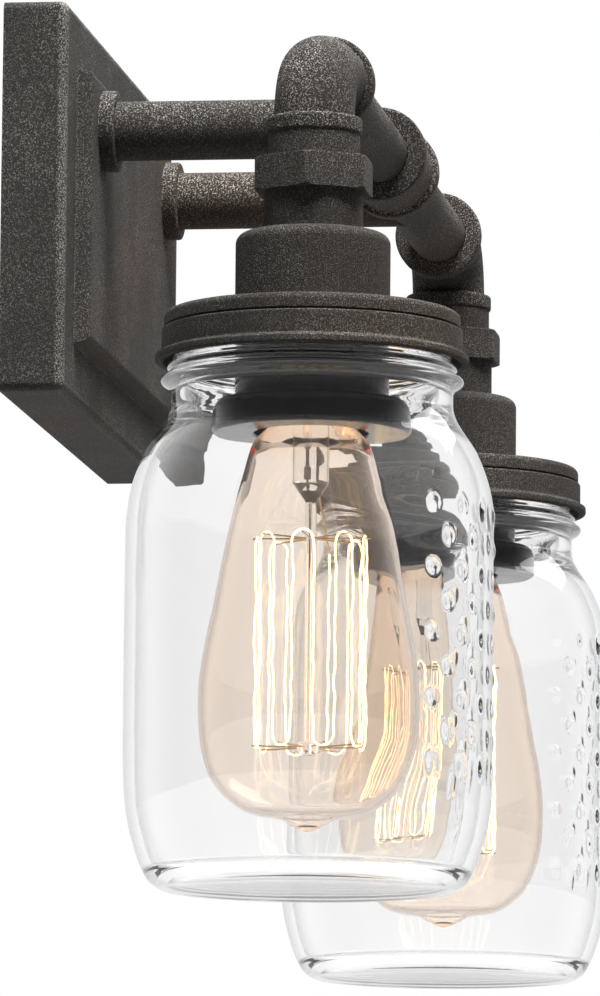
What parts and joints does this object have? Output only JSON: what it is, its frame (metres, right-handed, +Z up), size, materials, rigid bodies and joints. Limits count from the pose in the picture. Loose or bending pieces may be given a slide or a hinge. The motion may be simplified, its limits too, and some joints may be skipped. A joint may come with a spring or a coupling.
{
  "type": "vanity light",
  "caption": "Wall-mounted vanity light: pipe-fitting bar on a box backplate, with screw-on clear glass jars round filament lamps.",
  "frame": {"origin": "middle of the mounting strap's back face, on the wall", "axes": "+Z up, +Y into the wall, +X to the right of a person facing the light"},
  "size_m": [0.43, 0.1541, 0.272],
  "materials": {
    "dark_metal": "speckled",
    "steel": "zinc plated",
    "brass": "bright",
    "copper": "bare wire",
    "green_screw": "green",
    "phenolic": "gloss",
    "rubber": "matt",
    "solder": "satin",
    "jar_glass": "clear",
    "lamp_glass": "pale amber",
    "stem_glass": "clear",
    "lamp_wire": "drawn wire",
    "filament": "glowing",
    "wire_insulation": "matt",
    "connector": "moulded"
  },
  "bodies": {
    "root": {"arm_flange_left": "dark_metal", "arm_flange_right": "dark_metal", "arm_nuts": "steel", "arm_tube_left": "dark_metal", "arm_tube_right": "dark_metal", "bar_coupling": "dark_metal", "bar_tube_left": "dark_metal", "bar_tube_right": "dark_metal", "centre_contact_left": "brass", "centre_contact_right": "brass", "elbow_left": "dark_metal", "elbow_right": "dark_metal", "ground_screw": "green_screw", "ground_wire": "copper", "hex_union_left": "dark_metal", "hex_union_right": "dark_metal", "jar_lid_left": "dark_metal", "jar_lid_right": "dark_metal", "lamp_leads_left": "wire_insulation", "lamp_leads_right": "wire_insulation", "mounting_strap": "steel", "pan_screws": "dark_metal", "retaining_ring_left": "phenolic", "retaining_ring_right": "phenolic", "rod_nuts": "steel", "screw_shell_left": "brass", "screw_shell_right": "brass", "socket_body_left": "phenolic", "socket_body_right": "phenolic", "socket_cup_left": "dark_metal", "socket_cup_right": "dark_metal", "spacer_left": "dark_metal", "spacer_right": "dark_metal", "threaded_rod_left": "steel", "threaded_rod_right": "steel", "wall_pan": "dark_metal", "wire_connectors": "connector"},
    "gasket_left": {"jar_gasket_left": "rubber"},
    "glass_jar_left": {"jar_left": "jar_glass"},
    "lamp_contact_left": {"lamp_button_left": "solder"},
    "filament_lamp_left": {"lamp_insulator_left": "phenolic", "lamp_base_left": "brass", "lamp_glass_left": "lamp_glass", "lamp_stem_left": "stem_glass", "lamp_supports_left": "lamp_wire", "lamp_filament_left": "filament"},
    "gasket_right": {"jar_gasket_right": "rubber"},
    "glass_jar_right": {"jar_right": "jar_glass"},
    "lamp_contact_right": {"lamp_button_right": "solder"},
    "filament_lamp_right": {"lamp_insulator_right": "phenolic", "lamp_base_right": "brass", "lamp_glass_right": "lamp_glass", "lamp_stem_right": "stem_glass", "lamp_supports_right": "lamp_wire", "lamp_filament_right": "filament"}
  },
  "joints": [
    {"name": "jar_drop_left", "type": "slide", "parent": "root", "child": "gasket_left", "axis": [0, 0, -1], "range_m": [0, 0.00795]},
    {"name": "jar_turn_left", "type": "hinge", "parent": "gasket_left", "child": "glass_jar_left", "pos_m": [-0.1622, -0.1013, -0.12], "axis": [0, 0, -1], "range_deg": [0, 450]},
    {"name": "lamp_drop_left", "type": "slide", "parent": "root", "child": "lamp_contact_left", "axis": [0, 0, -1], "range_m": [0, 0.00455]},
    {"name": "lamp_turn_left", "type": "hinge", "parent": "lamp_contact_left", "child": "filament_lamp_left", "pos_m": [-0.1622, -0.1013, -0.12], "axis": [0, 0, -1], "range_deg": [0, 450]},
    {"name": "jar_drop_right", "type": "slide", "parent": "root", "child": "gasket_right", "axis": [0, 0, -1], "range_m": [0, 0.00795]},
    {"name": "jar_turn_right", "type": "hinge", "parent": "gasket_right", "child": "glass_jar_right", "pos_m": [0.1622, -0.1013, -0.12], "axis": [0, 0, -1], "range_deg": [0, 450]},
    {"name": "lamp_drop_right", "type": "slide", "parent": "root", "child": "lamp_contact_right", "axis": [0, 0, -1], "range_m": [0, 0.00455]},
    {"name": "lamp_turn_right", "type": "hinge", "parent": "lamp_contact_right", "child": "filament_lamp_right", "pos_m": [0.1622, -0.1013, -0.12], "axis": [0, 0, -1], "range_deg": [0, 450]}
  ],
  "couplings": [
    {"joint": "jar_drop_left", "follows": "jar_turn_left", "m_per_rad": 0.0010106},
    {"joint": "lamp_drop_left", "follows": "lamp_turn_left", "m_per_rad": 0.00057757},
    {"joint": "jar_drop_right", "follows": "jar_turn_right", "m_per_rad": 0.0010106},
    {"joint": "lamp_drop_right", "follows": "lamp_turn_right", "m_per_rad": 0.00057757}
  ]
}
